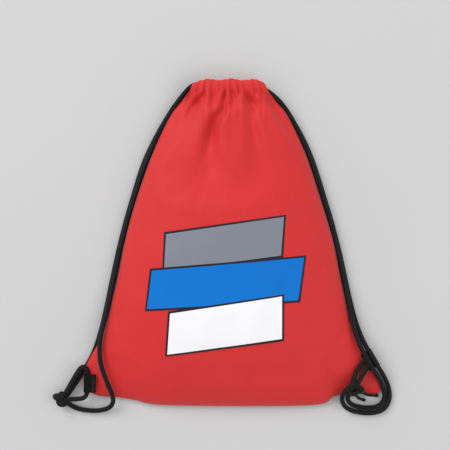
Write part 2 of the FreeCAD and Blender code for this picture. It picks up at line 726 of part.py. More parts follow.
def build_tip(name, route):
    """A heat-sealed bead on the end of a tail, face to face with it."""
    end, before = FreeCAD.Vector(*route[-1]), FreeCAD.Vector(*route[-2])
    tip = DOC.addObject("Part::Cylinder", name)
    tip.Label = name
    tip.setExpression("Radius", "dims.tip_radius")
    tip.setExpression("Height", "dims.tip_length")
    tip.Placement = FreeCAD.Placement(end, FreeCAD.Rotation(FreeCAD.Vector(0, 0, 1), end - before))
    return tip


def export(nodes):
    """Check every object of the document and every sub-part, then write the sub-parts."""
    DOC.recompute()
    for thing in DOC.Objects:
        if {"Invalid", "Error"} & set(thing.State):
            raise SystemExit(f"{thing.Label} is {thing.State}")
    os.makedirs("parts", exist_ok=True)
    for node in nodes:
        shape = node.Shape
        if shape.isNull() or not shape.isValid() or shape.Volume <= 0:
            raise SystemExit(f"{node.Label} has no valid shape")
        box = shape.BoundBox
        print(
            f"{node.Label}: {shape.Volume:.0f} mm3, {len(shape.Solids)} solids, "
            f"x {box.XMin:.1f} {box.XMax:.1f} y {box.YMin:.1f} {box.YMax:.1f} "
            f"z {box.ZMin:.1f} {box.ZMax:.1f}"
        )
        shape.exportStep(f"parts/{node.Label}.step")


export(build_all())
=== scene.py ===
import math

import bpy
import numpy as np
from mathutils import Matrix, Vector, noise
from mathutils.bvhtree import BVHTree


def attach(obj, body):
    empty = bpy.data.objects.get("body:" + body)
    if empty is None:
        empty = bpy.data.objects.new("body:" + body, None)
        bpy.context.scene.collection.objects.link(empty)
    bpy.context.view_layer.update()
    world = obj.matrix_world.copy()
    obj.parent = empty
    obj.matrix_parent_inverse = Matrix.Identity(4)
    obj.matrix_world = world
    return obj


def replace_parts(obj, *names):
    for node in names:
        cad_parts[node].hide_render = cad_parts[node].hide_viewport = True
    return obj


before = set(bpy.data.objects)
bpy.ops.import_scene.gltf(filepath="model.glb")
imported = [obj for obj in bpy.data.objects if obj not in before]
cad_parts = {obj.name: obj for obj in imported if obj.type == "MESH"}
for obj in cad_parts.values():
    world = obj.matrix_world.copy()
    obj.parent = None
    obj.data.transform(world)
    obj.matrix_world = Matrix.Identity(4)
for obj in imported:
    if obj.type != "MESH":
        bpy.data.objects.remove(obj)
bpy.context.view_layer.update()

MM = 0.001
ROOT = "root"

CORD_RADIUS = 2.8
TAIL_RADIUS = 1.7
CORD_CARRIERS = 8
TAIL_CARRIERS = 6
BRAID_STEP = 0.62             # about the distance from one ring of a cord's mesh to the next

LEFT_FRONT_ROUTE = [
    (-31.0, 190.5, 21.75), (-40.0, 190.5, 21.75), (-49.5, 184.0, 17.5), (-58.0, 174.0, 12.8),
    (-69.0, 160.0, 9.4), (-85.1, 131.9, 8.4), (-99.8, 98.2, 8.3), (-111.5, 62.0, 8.3),
    (-121.2, 30.0, 8.3), (-130.0, -3.0, 8.3), (-137.5, -39.0, 8.5), (-144.5, -72.0, 10.0),
    (-151.5, -99.0, 14.6), (-155.0, -121.0, 20.5), (-153.8, -143.0, 24.5), (-146.5, -164.0, 23.5),
    (-140.0, -180.0, 18.5), (-138.3, -190.5, 11.5), (-143.5, -199.0, 5.4), (-157.0, -202.5, 3.1),
    (-172.5, -202.0, 2.9), (-186.0, -199.0, 3.2), (-195.5, -192.5, 4.8),
]
LEFT_BACK_ROUTE = [
    (-31.0, 190.5, 5.25), (-40.0, 190.5, 5.25), (-50.5, 184.5, 4.2), (-60.5, 172.0, 3.1),
    (-71.5, 156.5, 2.9), (-88.0, 128.4, 2.9), (-103.4, 96.2, 2.9), (-114.5, 60.0, 2.9),
    (-124.2, 27.0, 2.9), (-132.6, -6.0, 2.9), (-140.2, -41.0, 2.9), (-147.2, -75.0, 2.9),
    (-154.0, -105.0, 2.9), (-160.5, -126.0, 2.9), (-167.0, -140.5, 2.9), (-174.5, -152.5, 2.9),
    (-182.0, -164.5, 3.0), (-189.5, -176.0, 3.6), (-196.0, -184.8, 5.0),
]
LEFT_ANCHOR_ROUTE = [
    (-197.0, -181.5, 11.6), (-192.0, -172.5, 9.8), (-186.0, -162.0, 9.8), (-180.8, -153.6, 10.0),
    (-177.2, -149.0, 10.0), (-172.6, -149.2, 10.0), (-170.1, -152.9, 10.0), (-169.5, -160.0, 10.0),
    (-169.9, -172.5, 10.0), (-170.6, -181.6, 10.0), (-174.0, -186.2, 10.0), (-182.0, -187.6, 10.4),
    (-190.6, -187.6, 10.8), (-198.5, -188.2, 11.2),
]
RIGHT_FRONT_ROUTE = [
    (31.0, 184.7, 21.75), (40.0, 184.7, 21.75), (50.0, 179.2, 17.5), (59.7, 171.2, 12.8),
    (70.3, 158.6, 9.6), (86.6, 129.4, 8.5), (99.2, 98.2, 8.4), (111.0, 62.2, 8.4),
    (121.8, 27.2, 8.4), (130.5, -8.9, 8.4), (137.8, -44.0, 8.6), (144.0, -74.0, 10.4),
    (149.2, -99.0, 15.0), (154.0, -117.0, 21.0), (160.3, -131.0, 25.1), (167.5, -143.5, 24.8),
    (175.5, -155.5, 18.8), (182.5, -166.5, 11.2), (187.0, -178.0, 4.9), (187.8, -188.0, 2.9),
    (182.5, -196.0, 2.9), (172.5, -199.2, 2.9), (160.5, -198.8, 3.1), (150.0, -196.0, 5.7),
    (143.0, -190.5, 12.8), (141.0, -183.0, 19.6), (146.5, -176.4, 23.4),
]
RIGHT_BACK_ROUTE = [
    (31.0, 184.7, 5.25), (40.0, 184.7, 5.25), (51.5, 179.5, 4.2), (61.5, 169.5, 3.1),
    (72.5, 155.0, 2.9), (88.8, 127.5, 2.9), (101.8, 97.0, 2.9), (113.3, 60.0, 2.9),
    (124.0, 25.0, 2.9), (133.2, -11.0, 2.9), (140.7, -46.0, 3.0), (147.4, -77.0, 4.2),
    (153.8, -100.0, 8.8), (160.0, -116.0, 15.2), (166.8, -129.0, 20.8), (173.6, -140.5, 21.5),
    (181.3, -152.5, 15.6), (188.3, -164.0, 8.2), (193.2, -176.3, 3.7), (193.9, -189.7, 2.9),
    (187.0, -201.3, 2.9), (174.2, -205.3, 2.9), (160.0, -205.1, 2.9), (146.2, -201.8, 4.6),
    (137.6, -195.2, 10.6), (134.6, -186.0, 17.6), (137.0, -178.4, 21.0), (142.6, -172.4, 22.8),
]
RIGHT_ANCHOR_ROUTE = [
    (146.6, -168.5, 23.2), (149.6, -158.5, 20.4), (154.6, -149.8, 18.6), (158.6, -145.0, 18.1),
    (161.3, -140.6, 18.1), (165.6, -141.0, 18.1), (167.0, -145.6, 18.1), (163.8, -150.8, 18.1),
    (159.4, -157.6, 19.0), (153.2, -168.3, 22.4),
]
SHORT_TAIL_ROUTE = [
    (150.0, -178.5, 19.6), (153.0, -184.0, 14.5), (156.8, -187.2, 8.0), (161.5, -189.0, 3.8),
]
LONG_TAIL_ROUTE = [
    (155.0, -175.5, 20.5), (162.0, -180.5, 15.5), (169.0, -183.2, 9.0), (177.0, -184.0, 3.6),
]

# Each knot's middle, the radius and half-thickness of its line, its axis and its turn about that.
LEFT_KNOT = ((-201.5, -187.0, 10.4), 6.2, 2.4, (0.55, 0.35, 0.75), 0.4)
RIGHT_KNOT = ((150.4, -173.2, 23.6), 7.2, 3.0, (0.3, -0.35, 0.9), 1.1)

# The bag's outline seen from above: each edge from its lower or left end.
LEFT_EDGE = [
    (-171, -178), (-175.5, -165), (-173, -150), (-166, -136), (-157, -120), (-148, -99),
    (-134.4, -44.4), (-124.8, 3.6), (-111.6, 51.6), (-94.8, 99.6), (-79.2, 135.6), (-66, 159.6), (-47.5, 180),
]
RIGHT_EDGE = [
    (180, -182), (184, -172), (177.5, -154), (166, -134), (156, -116.4), (145.2, -92.4),
    (134.4, -44.4), (124.8, 3.6), (110.4, 51.6), (94.8, 99.6), (79.2, 135.6), (66, 159.6), (47, 180),
]
BOTTOM_EDGE = [
    (-171, -178), (-158, -184), (-137, -185.5), (-114, -189), (-71, -195.6), (97, -195.6),
    (127, -184.5), (152, -182), (180, -182),
]
TOP_EDGE = [(-47.5, 180), (-17, 181), (16, 181), (47, 180)]

# Height of the front panel's middle and of the sides' seam, against the share of the way up the bag.
CROWN = [
    (0.0, 5.5), (0.023, 16), (0.068, 26), (0.143, 37), (0.215, 44.5), (0.308, 50), (0.455, 53),
    (0.628, 51.5), (0.788, 44.5), (0.92, 35.5), (1.0, 25.3),
]
SEAM = [(0.0, 3.0), (0.06, 4.5), (0.15, 8.0), (0.3, 10.0), (0.9, 10.5), (1.0, 11.0)]
SLIT_FROM = 0.955             # the share of the way up where the side seams end
STITCH_LINE_FRONT = 25.0
STITCH_LINE_BACK = 2.2
FLOOR_CLEARANCE = 0.7

# Creases that start at the gather and fade out: their points, then their depths and their widths at the
# start, at FOLD_MIDDLE of the way along and at the end.
FOLDS = [
    ([(-6, 180), (-6, 167), (-7, 158), (-18, 143), (-24, 100), (-29, 52)], (3.5, 6.5, 0.0), (3.0, 8.0, 20.0)),
    ([(24, 172), (27, 148), (30, 124), (41, 58)], (2.0, 4.0, 0.0), (4.0, 9.0, 18.0)),
    ([(3.6, 181), (6, 173), (2.4, 151)], (3.2, 2.8, 0.0), (2.6, 4.5, 8.0)),
    ([(19, 186), (23, 174), (26.5, 167), (44.5, 152)], (3.4, 4.8, 0.0), (3.0, 5.0, 10.0)),
    ([(30, 184), (32.5, 176)], (2.6, 1.6, 0.0), (2.2, 3.0, 5.0)),
    ([(-15.6, 188), (-16.8, 175), (-20, 156)], (3.0, 2.6, 0.0), (2.6, 4.5, 8.0)),
    ([(-32.5, 183), (-32.5, 175), (-40, 164), (-49, 152), (-64, 118)], (3.5, 5.5, 0.0), (3.2, 7.0, 15.0)),
    ([(-44, 182), (-58, 160), (-76, 128), (-92, 92)], (2.4, 3.6, 0.0), (3.0, 6.0, 12.0)),
    ([(46, 178), (57, 158), (74, 130), (90, 92)], (2.4, 3.6, 0.0), (3.0, 6.0, 12.0)),
]

FOLD_MIDDLE = 0.4
FOLD_STRENGTH = 1.8
FOLD_TOP = 182                # creases end at this y, and are whole from FOLD_FADE before it
FOLD_FADE = 7

# Printed bars from the top one down, each over the one above it: lower left, lower right, upper right
# and upper left corners. Each has a dark border.
BARS = {
    "grey": [(-76.8, -32.4), (61.2, -14.4), (64.8, 31.2), (-74.4, 10.8)],
    "blue": [(-97.2, -78.0), (81.6, -67.2), (88.8, -16.8), (-91.2, -32.4)],
    "white": [(-73.2, -132.0), (62.4, -112.8), (62.4, -62.4), (-69.6, -82.8)],
}
KEYLINE = 2.4
FILM = 0.3                    # the lowest film's rise over the cloth's surface
FILM_STEP = 0.08
FILM_GRID = 1.3               # about the distance from one of a film's points to the next

CURVE_SAMPLES = 40            # between one point of a curve and the next
COLUMNS = 84
ROWS = 88
CLOTH_THICKNESS = 0.35
THREADS_PER_MM = 2.2
CASING_ROWS = 20
CASING_HEIGHT = 14.2
OPEN_FROM = 31.0              # the hem's inner layer ends here, on either side of the middle
# The casing's section: share of its height above the stitch line, and distance from its middle level.
CASING_LOOP = [
    (0.0, 3.6), (0.25, 4.3), (0.5, 4.5), (0.75, 4.0), (0.94, 2.4), (1.0, 0.0), (0.94, -2.4), (0.75, -4.0),
    (0.5, -4.5), (0.25, -4.2), (0.05, -3.4),
]
# Each casing's middle level, the depth of its pleats, and the share of its height over which it leaves
# the stitch line's level.
FRONT_CASING = (22.3, 1.1, 0.1)
BACK_CASING = (5.4, 0.4, 0.05)
PLEAT_SPACING = 8.4
PLEAT_DEPTH = 3.4
PLEAT_REACH = 17.0
BACK_PLEAT_SHIFT = 3.7        # how far across the back's pleats are from the front's

SEAM_INSET = 2                # grid steps from the bag's edge to the seams' thread
SEAM_POINTS = 120
SEAM_THREAD_RADIUS = 0.35
STITCH_THREAD_RADIUS = 0.2
THREAD_SIDES = 7
STITCHES = 19
STITCH_PITCH = 4.9
STITCH_ROW = 183.0            # the y of the stitches on both casings


def unit(v):
    return v / np.linalg.norm(v, axis=-1, keepdims=True)


def curve_through(points, count):
    """Evenly spaced points on a smooth curve through the given ones."""
    p = np.array(points, float)
    p = np.vstack([2 * p[0] - p[1], p, 2 * p[-1] - p[-2]])
    t = np.linspace(0, 1, CURVE_SAMPLES, endpoint=False)[:, None]
    pieces = []
    for a, b, c, d in zip(p[:-3], p[1:-2], p[2:-1], p[3:]):
        pieces.append(0.5 * (2 * b + (c - a) * t + (2 * a - 5 * b + 4 * c - d) * t**2
                             + (3 * b - a - 3 * c + d) * t**3))
    line = np.vstack([*pieces, p[-2:-1]])
    return resampled(line, count)


def resampled(line, count):
    """A polyline's points moved to be evenly spaced along it."""
    run = np.concatenate([[0], np.cumsum(np.linalg.norm(np.diff(line, axis=0), axis=1))])
    at = np.linspace(0, run[-1], count)
    return np.stack([np.interp(at, run, line[:, k]) for k in range(line.shape[1])], axis=1)


def smooth_step(x):
    x = np.clip(x, 0, 1)
    return x * x * (3 - 2 * x)


def new_object(name, points, faces, slot):
    """A smooth mesh object in metres from points in millimetres, with the record's slot and its material."""
    mesh = bpy.data.meshes.new(name)
    mesh.from_pydata((np.asarray(points) * MM).tolist(), [], [list(map(int, f)) for f in faces])
    mesh.materials.append(MATERIALS[slot])
    mesh.polygons.foreach_set("use_smooth", [True] * len(mesh.polygons))
    piece = bpy.data.objects.new(name, mesh)
    bpy.context.collection.objects.link(piece)
    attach(piece, ROOT)
    return piece


# ---------------------------------------------------------------- materials

class Nodes:
    """A material's node tree, with short ways to add to it."""

    def __init__(self, name):
        self.material = bpy.data.materials.new(name)
        self.material.use_nodes = True
        self.tree = self.material.node_tree
        self.shader = self.tree.nodes["Principled BSDF"]
        self.place = self.add("ShaderNodeTexCoord").outputs["Object"]

    def add(self, kind, inputs=(), **settings):
        node = self.tree.nodes.new(kind)
        for key, value in settings.items():
            setattr(node, key, value)
        for key, value in dict(inputs).items():
            self.feed(node.inputs[key], value)
        return node

    def feed(self, socket, value):
        if isinstance(value, bpy.types.NodeSocket):
            self.tree.links.new(value, socket)
        else:
            socket.default_value = value

    def maths(self, operation, *values):
        return self.add("ShaderNodeMath", enumerate(values), operation=operation).outputs[0]

    def mottle(self, scale, detail):
        """Noise from 0 to 1 that stays with the object."""
        settings = {"Vector": self.place, "Scale": scale, "Detail": detail}
        return self.add("ShaderNodeTexNoise", settings).outputs["Fac"]

    def blend(self, factor, a, b, mode="MIX"):
        mix = self.add("ShaderNodeMix", data_type="RGBA", blend_type=mode)
        self.feed(mix.inputs["Factor"], factor)
        self.feed(mix.inputs["A"], a)
        self.feed(mix.inputs["B"], b)
        return mix.outputs["Result"]

    def set(self, **values):
        for key, value in values.items():
            self.feed(self.shader.inputs[key.replace("_", " ")], value)

    def bump(self, height, strength, distance_mm):
        settings = {"Height": height, "Strength": strength, "Distance": distance_mm * MM}
        self.set(Normal=self.add("ShaderNodeBump", settings).outputs["Normal"])


def colour(red, green, blue):
    """A colour given as it looks on a screen, from 0 to 255, as Blender's linear one."""
    def linear(c):
        c /= 255
        return c / 12.92 if c <= 0.04045 else ((c + 0.055) / 1.055) ** 2.4
    return (linear(red), linear(green), linear(blue), 1.0)


def lighter(base):
    """A colour 1.6 times as bright."""
    return (*(min(1.0, 1.6 * c) for c in base[:3]), 1.0)


def weave_height(nodes, per_mm):
    """Plain weave: threads over and under each other, as a height from 0 to 1."""
    split = nodes.add("ShaderNodeSeparateXYZ", {"Vector": nodes.place})
    turn = 2 * math.pi * per_mm / MM
    across = nodes.maths("SINE", nodes.maths("MULTIPLY", split.outputs["X"], turn))
    along = nodes.maths("SINE", nodes.maths("MULTIPLY", split.outputs["Y"], turn))
    return nodes.maths("MULTIPLY_ADD", nodes.maths("MULTIPLY", across, along), 0.5, 0.5)


def cloth_material(name, base, shade, roughness, sheen):
    """Woven polyester: fine plain weave, a soft satin gloss and slight unevenness in the dye."""
    nodes = Nodes(name)
    fine = nodes.mottle(900.0, 2.0)
    weave = weave_height(nodes, THREADS_PER_MM)
    tone = nodes.maths("MULTIPLY_ADD", nodes.mottle(22.0, 3.0), 0.5, 0.1)
    grain = nodes.maths("MULTIPLY", fine, 0.35)
    body = nodes.blend(nodes.maths("ADD", tone, grain), shade, base)
    nodes.set(Base_Color=body, Roughness=roughness, Specular_IOR_Level=0.35, Sheen_Weight=sheen,
              Sheen_Roughness=0.45)
    height = nodes.maths("ADD", weave, nodes.maths("MULTIPLY", fine, 0.6))
    nodes.bump(height, 0.25, 0.12)
    return nodes.material


def cord_material(name, base, roughness):
    """Braided polyester cord: near black, with the filaments' faint sheen."""
    nodes = Nodes(name)
    strands = nodes.mottle(1500.0, 3.0)
    nodes.set(Base_Color=nodes.blend(strands, base, lighter(base)), Roughness=roughness, Sheen_Weight=0.05,
              Sheen_Roughness=0.5, Specular_IOR_Level=0.22)
    nodes.bump(strands, 0.3, 0.15)
    return nodes.material


def webbing_material(name, base):
    """Flat woven webbing: ribs along its length with cross threads."""
    nodes = Nodes(name)
    ribs = weave_height(nodes, 0.55)
    tone = nodes.maths("MULTIPLY", nodes.maths("ADD", ribs, nodes.mottle(1200.0, 2.0)), 0.5)
    nodes.set(Base_Color=nodes.blend(tone, base, lighter(base)), Roughness=0.8, Specular_IOR_Level=0.15)
    nodes.bump(tone, 0.6, 0.4)
    return nodes.material


def ink_material(name, base, through, roughness):
    """Screen-print ink: it fills the weave, and a trace of the cloth shows in it."""
    nodes = Nodes(name)
    patches = nodes.maths("MULTIPLY", nodes.mottle(60.0, 4.0), 0.22)
    nodes.set(Base_Color=nodes.blend(patches, base, through), Roughness=roughness, Specular_IOR_Level=0.15)
    nodes.bump(weave_height(nodes, THREADS_PER_MM), 0.12, 0.08)
    return nodes.material


def plastic_material(name, base):
    """Cord end melted into a hard bead."""
    nodes = Nodes(name)
    melt = nodes.mottle(700.0, 2.0)
    nodes.set(Base_Color=nodes.blend(melt, base, lighter(base)), Roughness=0.32)
    nodes.bump(melt, 0.35, 0.3)
    return nodes.material


BLACK = colour(9, 10, 10)
RED = colour(218, 42, 42)
DEEP_RED = colour(200, 32, 33)
MATERIALS = {
    "red_cloth": cloth_material("red_polyester", RED, DEEP_RED, 0.62, 0.18),
    "red_thread": cord_material("red_thread", colour(196, 44, 44), 0.6),
    "black_cord": cord_material("black_braid", BLACK, 0.62),
    "sealed_tip": plastic_material("melted_end", colour(18, 18, 19)),
    "black_webbing": webbing_material("black_webbing", BLACK),
    "black_thread": cord_material("black_thread", colour(36, 36, 38), 0.55),
    "dark_ink": ink_material("dark_ink", colour(36, 34, 46), colour(60, 30, 36), 0.5),
    "grey_ink": ink_material("grey_ink", colour(128, 133, 145), colour(132, 124, 134), 0.55),
    "blue_ink": ink_material("blue_ink", colour(0, 116, 206), colour(14, 104, 186), 0.55),
    "white_ink": ink_material("white_ink", colour(245, 245, 247), colour(238, 231, 233), 0.5),
}


# ---------------------------------------------------------------- camera

FRAME_WIDTH = 540.0
LENS = 120.0
SENSOR = 36.0
VIEW_CENTRE = (-4.8, 21.6)
SEAM_LEVEL = 12.0


def make_camera():
    """A camera straight above the bag, with the bag's head up in the picture."""
    data = bpy.data.cameras.new("camera")
    data.lens = LENS
    data.sensor_width = SENSOR
    data.clip_end = 20
    camera = bpy.data.objects.new("camera", data)
    height = SEAM_LEVEL + FRAME_WIDTH * LENS / SENSOR
    camera.location = Vector((*VIEW_CENTRE, height)) * MM
    bpy.context.collection.objects.link(camera)
    bpy.context.scene.camera = camera


# ---------------------------------------------------------------- cords

def nurbs_line(route):
    """The smooth line that a route's points control, read from Blender's own NURBS spline."""
    curve = bpy.data.curves.new("line", "CURVE")
    curve.dimensions = "3D"
    curve.resolution_u = 16
    spline = curve.splines.new("NURBS")
    spline.points.add(len(route) - 1)
    for point, place in zip(spline.points, route):
        point.co = (*place, 1)
    spline.order_u = 3
    spline.use_endpoint_u = True
    holder = bpy.data.objects.new("line", curve)
    mesh = bpy.data.meshes.new_from_object(holder)
    line = np.array([v.co[:] for v in mesh.vertices])
    bpy.data.meshes.remove(mesh)
    bpy.data.objects.remove(holder)
    bpy.data.curves.remove(curve)
    return line


def length_of(line):
    """A polyline's length."""
    return float(np.linalg.norm(np.diff(line, axis=0), axis=1).sum())


def frames_along(line):
    """Two directions across a line at each of its points, turned as little as possible."""
    ahead = unit(np.gradient(line, axis=0))
    side = np.cross(ahead[0], (0.0, 0.0, 1.0))
    if np.linalg.norm(side) < 0.1:
        side = np.cross(ahead[0], (0.0, 1.0, 0.0))
    sides = [side / np.linalg.norm(side)]
    for direction in ahead[1:]:
        side = sides[-1] - direction * np.dot(sides[-1], direction)
        sides.append(side / np.linalg.norm(side))
    sides = np.array(sides)
    return sides, np.cross(ahead, sides)


def braid(turn, run, carriers, lay):
    """Height from 0 to 1 of a tubular braid, at a share of a turn and a distance along the cord."""
    p = carriers * (turn + run / lay)
    q = carriers * (turn - run / lay)
    over = (np.floor(p) + np.floor(q)) % 2 == 0
    ridge_p = np.abs(np.sin(np.pi * p))
    ridge_q = np.abs(np.sin(np.pi * q))
    return np.where(over, ridge_p**0.6 * (0.55 + 0.45 * ridge_q), ridge_q**0.6 * (0.55 + 0.45 * ridge_p))


def braided_tube(name, line, radius, carriers, closed=False):
    """A cord as a mesh tube along a line, with its braid in relief and rounded ends."""
    rings = max(4, int(length_of(line) / BRAID_STEP))
    line = resampled(line, rings)
    sides, ups = frames_along(line)
    around = 5 * carriers
    turn = np.arange(around) / around
    run = np.arange(rings)[:, None] * BRAID_STEP
    relief = 0.085 * radius
    reach = radius - relief + relief * 1.6 * braid(turn[None, :], run, carriers, carriers * radius * 0.95)
    if not closed:
        inset = np.minimum(np.arange(rings), np.arange(rings)[::-1])[:, None] * BRAID_STEP / radius
        reach = reach * np.sqrt(np.clip(1 - (1 - np.clip(inset + 0.12, 0, 1)) ** 2, 0, 1))
    angle = 2 * np.pi * turn
    points = (line[:, None] + sides[:, None] * (reach * np.cos(angle))[..., None]
              + ups[:, None] * (reach * np.sin(angle))[..., None]).reshape(-1, 3)
    faces = []
    for i in range(rings if closed else rings - 1):
        a, b = i * around, (i + 1) % rings * around
        faces += [(a + k, a + (k + 1) % around, b + (k + 1) % around, b + k) for k in range(around)]
    if not closed:
        faces += [tuple(range(around))[::-1], tuple((rings - 1) * around + k for k in range(around))]
    return new_object(name, points, faces, "black_cord")


def overhand(centre, size, thick, axis, spin):
    """The line of a pulled-tight overhand knot, closed on itself."""
    t = np.linspace(0, 2 * np.pi, 240, endpoint=False)
    line = np.stack([np.sin(t) + 2 * np.sin(2 * t), np.cos(t) - 2 * np.cos(2 * t), -np.sin(3 * t)], axis=1)
    line *= np.array([size / 3, size / 3, thick])
    turn = Vector((0, 0, 1)).rotation_difference(Vector(axis)).to_matrix() @ Matrix.Rotation(spin, 3, "Z")
    return line @ np.array(turn).T + np.array(centre)


def declare(cord, replaced):
    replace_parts(cord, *replaced)


def knot_piece(name, centre, size, thick, axis, spin):
    """The two cords of a knot, joined into one piece."""
    line = overhand(centre, size, thick, axis, spin)
    sides, ups = frames_along(np.vstack([line, line[:1]]))
    tubes = []
    for sign in (-1, 1):
        offset = sign * 0.75 * CORD_RADIUS
        tubes.append(braided_tube(f"{name}_{sign}", line + ups[:-1] * offset, 0.95 * CORD_RADIUS,
                                  CORD_CARRIERS, closed=True))
    return joined(name, tubes)


def joined(name, pieces):
    """Several mesh pieces as one."""
    keep = pieces[0]
    with bpy.context.temp_override(active_object=keep, selected_editable_objects=pieces):
        bpy.ops.object.join()
    keep.name = name
    keep.data.name = name
    return keep


def make_cords():
    """The knots, the tails and the six lengths of cord outside the casings."""
    left_knot = knot_piece("left_knot_tied", *LEFT_KNOT)
    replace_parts(left_knot, "left_knot")
    right_knot = knot_piece("right_knot_tied", *RIGHT_KNOT)
    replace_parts(right_knot, "right_knot")

    tails = []
    for name, route in (("right_short_tail", SHORT_TAIL_ROUTE), ("right_long_tail", LONG_TAIL_ROUTE)):
        tail = braided_tube(f"{name}_braid", nurbs_line(route), TAIL_RADIUS, TAIL_CARRIERS)
        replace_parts(tail, name)
        tails += [tail, bpy.data.objects[f"{name}_tip"]]

    for name, route, far_end, extra in (
        ("left_cord_front_strand", LEFT_FRONT_ROUTE, "knot", [left_knot]),
        ("left_cord_back_strand", LEFT_BACK_ROUTE, "knot", []),
        ("left_anchor_loop", LEFT_ANCHOR_ROUTE, "object", []),
        ("right_cord_front_strand", RIGHT_FRONT_ROUTE, "knot", [right_knot, *tails]),
        ("right_cord_back_strand", RIGHT_BACK_ROUTE, "knot", []),
        ("right_anchor_loop", RIGHT_ANCHOR_ROUTE, "object", []),
    ):
        line = nurbs_line(route)
        cord = braided_tube(f"{name}_braid", line, CORD_RADIUS, CORD_CARRIERS)
        declare(cord, [name])


# ---------------------------------------------------------------- the bag's cloth

def along_fold(points, x, y):
    """Distance from a crease's line, and how far along it the nearest place is, from 0 to 1."""
    line = curve_through(points, 60)
    gaps = np.sqrt((x[..., None] - line[:, 0]) ** 2 + (y[..., None] - line[:, 1]) ** 2)
    nearest = gaps.argmin(axis=-1)
    return gaps.min(axis=-1), nearest / (len(line) - 1)


def creases(x, y):
    """How deep the long creases cut into the front panel, with a low ridge beside each."""
    depth = np.zeros_like(x)
    for points, depths, widths in FOLDS:
        gap, share = along_fold(points, x, y)
        deep = np.interp(share, (0, FOLD_MIDDLE, 1), depths)
        wide = np.interp(share, (0, FOLD_MIDDLE, 1), widths)
        ratio = (gap / wide) ** 2
        depth += FOLD_STRENGTH * deep * (1 - 0.55 * ratio) * np.exp(-0.6 * ratio)
    return depth * smooth_step((FOLD_TOP - y) / FOLD_FADE)


def pleats(across):
    """The gather's small pleats: sharp valleys and round ridges, from -1 to 1, at uneven spacing."""
    uneven = 0.55 * np.sin(across * 0.115 + 0.6) + 0.4 * np.sin(across * 0.271 + 2.1)
    phase = math.pi * across / PLEAT_SPACING + uneven
    size = 0.75 + 0.25 * np.sin(across * 0.19 + 1.0)
    return size * (2 * np.abs(np.cos(phase)) ** 0.75 - 1)


def wander(x, y, scale, seed):
    """Smooth noise over the cloth, from about -1 to 1."""
    flat = np.stack([x.ravel() / scale, y.ravel() / scale], axis=1)
    values = [noise.noise(Vector((a, b, seed))) for a, b in flat]
    return np.array(values).reshape(x.shape) * 1.6


def panel_plan():
    """x and y of the panel's grid, between its four edges."""
    left, right = curve_through(LEFT_EDGE, ROWS + 1), curve_through(RIGHT_EDGE, ROWS + 1)
    bottom, top = curve_through(BOTTOM_EDGE, COLUMNS + 1), curve_through(TOP_EDGE, COLUMNS + 1)
    u = np.linspace(0, 1, COLUMNS + 1)[None, :, None]
    v = np.linspace(0, 1, ROWS + 1)[:, None, None]
    sides = (1 - u) * left[:, None] + u * right[:, None]
    ends = (1 - v) * bottom[None] + v * top[None]
    corners = ((1 - u) * (1 - v) * bottom[0] + u * (1 - v) * bottom[-1]
               + (1 - u) * v * top[0] + u * v * top[-1])
    return sides + ends - corners


def panel_shapes():
    """The two panels as they are before they settle, each (ROWS + 1, COLUMNS + 1, 3)."""
    plan = panel_plan()
    x, y = plan[..., 0], plan[..., 1]
    v = np.linspace(0, 1, ROWS + 1)[:, None]
    u = np.linspace(-1, 1, COLUMNS + 1)[None, :]
    seam = np.interp(v, *zip(*SEAM)) + 0 * u
    seam = np.where(v == 0, 2.6 + 2.4 * (1 - u**4), seam)
    opened = smooth_step((v - SLIT_FROM) / (1 - SLIT_FROM))

    crown = np.interp(v, *zip(*CROWN))
    edge = seam + (STITCH_LINE_FRONT - seam) * opened
    bulge = (1 - np.abs(u) ** 2.3) ** 0.72
    front = edge + (np.maximum(crown, edge) - edge) * bulge
    near_top = np.exp(-(180 - y) / PLEAT_REACH)
    within = 1 - np.abs(u) ** 12
    front = front - creases(x, y) * bulge**0.5 + PLEAT_DEPTH * pleats(x) * near_top * within
    lower = smooth_step(v / 0.15)
    front = front + bulge * lower * (1.1 * wander(x, y, 62, 3.1) + 0.5 * wander(x, y, 24, 8.2))

    edge = seam + (STITCH_LINE_BACK - seam) * opened
    rest = (1 - np.abs(u) ** 5) ** 0.8 * smooth_step(v / 0.05)
    back = edge + (FLOOR_CLEARANCE - edge) * rest
    back = np.where(v > 0.9, np.maximum(back, STITCH_LINE_BACK * smooth_step((v - 0.9) / 0.1)), back)
    back = back + PLEAT_DEPTH * 0.5 * (pleats(x + BACK_PLEAT_SHIFT) + 1) * near_top * within
    return np.dstack([plan, front]), np.dstack([plan, back])


def casing_shape(panel, sign, middle, pleat, blend):
    """The hem above a panel's stitch line: a flattened tube round the cords, gathered into pleats."""
    row = panel[-1]
    loop = curve_through(CASING_LOOP, CASING_ROWS + 1)[1:]
    share, height = loop[:, :1], loop[:, 1:]
    gather = pleats(row[:, 0] if sign > 0 else row[:, 0] + BACK_PLEAT_SHIFT)[None]
    ruffle = 0.9 * np.sin(row[:, 0] * 0.21 + sign) + 0.6 * pleats(row[:, 0] + 5 * sign)
    x = row[None, :, 0] * (1 - 0.1 * share)
    corner = 3.0 * np.abs(np.linspace(-1, 1, COLUMNS + 1)) ** 14
    y = row[None, :, 1] + CASING_HEIGHT * share + (ruffle - corner)[None] * share
    outer = np.clip(height / 4.0, 0, 1)
    rising = np.arange(CASING_ROWS)[:, None] < CASING_ROWS / 2
    step = np.clip(row[None, :, 2] - middle - sign * CASING_LOOP[0][1], -4.5, 4.5)
    joining = step * np.exp(-share / blend) * rising
    z = middle + sign * height + sign * pleat * gather * outer * (1 - np.exp(-share / 0.13)) + joining
    return np.dstack([x, y, z])


def grid_faces(index, flip):
    """Quads over a grid of vertex numbers."""
    a, b, c, d = index[:-1, :-1], index[:-1, 1:], index[1:, 1:], index[1:, :-1]
    order = (a, d, c, b) if flip else (a, b, c, d)
    return np.stack(order, axis=-1).reshape(-1, 4)


